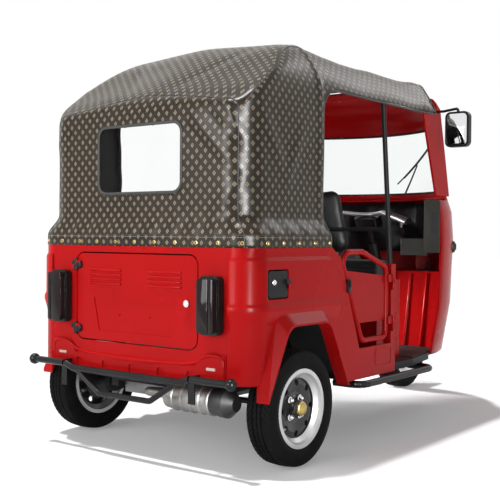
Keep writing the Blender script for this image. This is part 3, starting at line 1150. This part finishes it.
screen_glass = finish("windscreen_glass", (0.92, 0.95, 0.94), (0.90, 0.93, 0.92), scale=1.5,
                      rough=(0.0, 0.02), Transmission_Weight=1.0, IOR=1.10)
dress(screen_glass, "windscreen_glass")


def on_screen(y, z, off):
    """Place on the bent glass, moved outwards by off."""
    r = SCREEN_LOW_R + (SCREEN_TOP_R - SCREEN_LOW_R) * (z - COWL_Z) / (SCREEN_TOP_Z - COWL_Z) + off
    return (SCREEN_X + math.sqrt(r * r - y * y), y, z)


def over_screen(start, end, steps):
    """Run over the glass between two places."""
    return [on_screen(*p) for p in np.linspace(start, end, steps)]


glass_low, glass_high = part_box("windscreen_glass")
gaskets = []
for z, end in ((glass_low.z + GASKET_IN, GASKET_LOW_END - glass_high.y),
               (glass_high.z - GASKET_IN, glass_high.y - GASKET_TOP_END)):
    gaskets.append(tube(over_screen((end, z, 0.0), (-end, z, 0.0), 60), GASKET_R, 10))
piece("screen_gasket", merge(*gaskets), mat_rubber, "body")
blade = [tube(over_screen(*BLADE, 24), 0.0042, 8), tube(over_screen(*BLADE_BACK, 20), 0.0052, 8),
         tube([on_screen(*p) for p in BLADE_CLIP], 0.0045, 8)]
piece("wiper_blade", merge(*blade), black_plastic, "body")
arm = [lathe(WIPER_BOSS, on_screen(WIPER_Y, COWL_Z, WIPER_OFF), (0, 0, 1), 24),
       tube(over_screen(*WIPER_ARM, 16), np.linspace(0.0060, 0.0042, 16), 8)]
wiper_arm = piece("wiper_arm", merge(*arm), black_plastic, "body")
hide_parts("wiper")

# Nose lamps: round headlamps with ribbed lenses in chromed rims, and dark grey side indicators.
# Lamps are moulded glass on pressed bowls, screwed to the nose.
HEADLAMP_TURN, HEADLAMP_Y, HEADLAMP_Z = math.radians(27), 0.284, 0.800
LENS_DOME = [(0.0, -0.004), (0.0630, -0.004), (0.0630, 0.001), (0.0560, 0.006), (0.0420, 0.011),
             (0.0220, 0.014), (0.0, 0.015)]  # radius, height
LENS_RIM = [(0.0610, -0.006), (0.0610, 0.003), (0.0640, 0.007), (0.0690, 0.008), (0.0735, 0.004),
            (0.0755, -0.006)]
RIB_PITCH, RIB_R, RIB_ZONE, RIB_SHARE = 0.0085, 0.0012, 0.060, 0.94
DOME_R, DOME_RISE, LENS_SINK = 0.064, 0.015, 0.004
INDICATOR_ROLL = 0.0040
dark_grey = finish("dark_grey_plastic", (0.042, 0.043, 0.044), (0.032, 0.033, 0.034), scale=14.0,
                   rough=(0.42, 0.56), grain=0.2, grain_scale=700.0, Specular_IOR_Level=0.20)
lamp_glass = finish("lamp_glass", (0.62, 0.65, 0.68), (0.42, 0.45, 0.48), scale=60.0, rough=(0.04, 0.10),
                    grain=0.4, grain_scale=90.0, Metallic=0.8, Coat_Weight=1.0, Coat_Roughness=0.02)
dress(chrome, "headlamps")
dress(dark_grey, "indicators")
soften(INDICATOR_ROLL, "indicators")
lamps, rims = [], []
for side in (-1, 1):
    at, _ = skin("headlamps", (4, side * HEADLAMP_Y, HEADLAMP_Z), (-1, 0, 0))
    n = Vector((math.cos(HEADLAMP_TURN), side * math.sin(HEADLAMP_TURN), 0))
    across_lamp = Vector((n.y, -n.x, 0))
    lamps.append(lathe(LENS_DOME, at - n * LENS_SINK, n, 48))
    for k in range(-6, 7):
        off = RIB_PITCH * k
        half = math.sqrt(RIB_ZONE ** 2 - off ** 2) * RIB_SHARE
        line = []
        for t in np.linspace(-half, half, 13):
            out = DOME_RISE * math.sqrt(max(0.0, 1 - (t * t + off ** 2) / DOME_R ** 2))
            line.append(at + n * (out - LENS_SINK) + across_lamp * off + Vector((0, 0, float(t))))
        lamps.append(tube(line, RIB_R, 6))
    rims.append(lathe(LENS_RIM, at - n * 0.002, n, 48))
piece("headlamp_lenses", merge(*lamps), lamp_glass, "body")
piece("headlamp_rims", merge(*rims), chrome, "body")

# Cab: a moulded dashboard with pockets, an instrument pod on the steering head and a bare handlebar.
# The dash is gloss navy black plastic; the grips are ribbed rubber, and the levers are black.
CAB_ROLL = 0.0030
GRIP_FROM_Y, BEND_FROM_Y, BEND_TO_Y = 0.316, 0.150, 0.260
GRIP_RIBS, GRIP_PITCH, GRIP_R, GRIP_RIB, GRIP_END_R = 23, 0.005, 0.0165, 0.0012, 0.0150
GRIP_FLANGE = [(0.0, -0.006), (0.0190, -0.006), (0.0200, -0.002), (0.0190, 0.002), (0.0, 0.002)]
LEVER_CLAMP = [(0.0, -0.016), (0.0185, -0.016), (0.0185, 0.016), (0.0, 0.016)]
LEVER_AT, LEVER_STEP, LEVER_R = 0.135, 0.008, 0.0050
TRIM_AT, TRIM_SCREW_Z = (1.697, 0.565, 1.016), 0.125
SCREW_HEAD = [(0.0, -0.001), (0.0055, -0.001), (0.0055, 0.0010), (0.0035, 0.0024), (0.0, 0.0028)]
DASH_FROM_X, SWITCH_YS, SWITCH_Z = 1.2, (0.060, 0.095, 0.130), 1.02
IGNITION_Y, IGNITION_Z, IGNITION_R = -0.115, 1.03, 0.0160
dash_plastic = finish("dash_plastic", (0.014, 0.015, 0.019), (0.010, 0.011, 0.014), scale=5.0,
                      rough=(0.16, 0.26), grain=0.10, grain_scale=600.0, Specular_IOR_Level=0.20,
                      Coat_Weight=0.08, Coat_Roughness=0.12)
trim_grey = finish("trim_grey", (0.052, 0.049, 0.041), (0.042, 0.040, 0.034), scale=6.0, rough=(0.42, 0.58),
                   grain=0.25, grain_scale=500.0, Specular_IOR_Level=0.20)
grip_rubber = finish("grip_rubber", (0.018, 0.018, 0.018), (0.012, 0.012, 0.012), scale=30.0,
                     rough=(0.55, 0.70), grain=0.3, grain_scale=500.0)
dress(dash_plastic, "dashboard", "instrument_pod")
dress(trim_grey, "dash_pockets")
soften(CAB_ROLL, "dashboard", "dash_pockets", "instrument_pod")
bar_points = np.array([v.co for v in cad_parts["handlebar"].data.vertices]) + np.array((MID_X, 0, 0))
grips, levers = [], []
widths = [GRIP_R + (GRIP_RIB if k % 2 else 0.0) for k in range(GRIP_RIBS)]
widths[0] = widths[-1] = GRIP_END_R
for side in (-1, 1):
    y = bar_points[:, 1] * side
    outer = bar_points[y > GRIP_FROM_Y].mean(0)
    inner = bar_points[(y > BEND_FROM_Y) & (y < BEND_TO_Y)].mean(0)
    d = (inner - outer) / np.linalg.norm(inner - outer)
    grips.append(tube([outer + d * (0.001 + GRIP_PITCH * k) for k in range(GRIP_RIBS)], widths, 20))
    grips.append(lathe(GRIP_FLANGE, outer, d, 24))
    pivot = outer + d * LEVER_AT
    reach = [pivot + (0.020, 0, -0.004), pivot - d * 0.050 + (0.052, 0, -0.012),
             outer + d * 0.010 + (0.058, 0, -0.016)]
    levers.append(tube(evenly(reach, LEVER_STEP), LEVER_R, 10))
    levers.append(lathe(LEVER_CLAMP, pivot, d, 24))
piece("handlebar_grips", merge(*grips), grip_rubber, "steering")
trims, covers = [], []
for side in (-1, 1):
    at = Vector((TRIM_AT[0], side * TRIM_AT[1], TRIM_AT[2]))
    trims.append(slab(rounded(0.094, 0.286, 0.010), at, *REARWARD, 0.006, 0.003, 0.001))
    covers.append(slab(rounded(0.038, 0.118, 0.006), at + Vector((-0.005, side * 0.020, 0.020)), *REARWARD,
                       0.0045, 0.002, 0.001))
    for z in (-TRIM_SCREW_Z, TRIM_SCREW_Z):
        covers.append(lathe(SCREW_HEAD, at + Vector((-0.006, side * 0.030, z)), (-1, 0, 0), 16))
piece("cab_side_trims", merge(*trims), trim_grey, "body")
piece("cab_trim_covers", merge(*covers), dark_grey, "body")
switches = []
for y in SWITCH_YS:
    at, normal = skin("dashboard", (DASH_FROM_X, y, SWITCH_Z), FORWARD)
    u = Vector((-normal.y, normal.x, 0)).normalized()
    switches.append(slab(rounded(0.022, 0.034, 0.004, 4), at, u, (0, 0, 1), 0.007, 0.003, 0.002))
piece("dash_switches", merge(*switches), dark_grey, "body")
at, normal = skin("dashboard", (DASH_FROM_X, IGNITION_Y, IGNITION_Z), FORWARD)
piece("ignition_lock", lock_shape(at, normal, IGNITION_R), chrome, "body")
piece("handlebar_levers", merge(*levers), black_plastic, "steering")
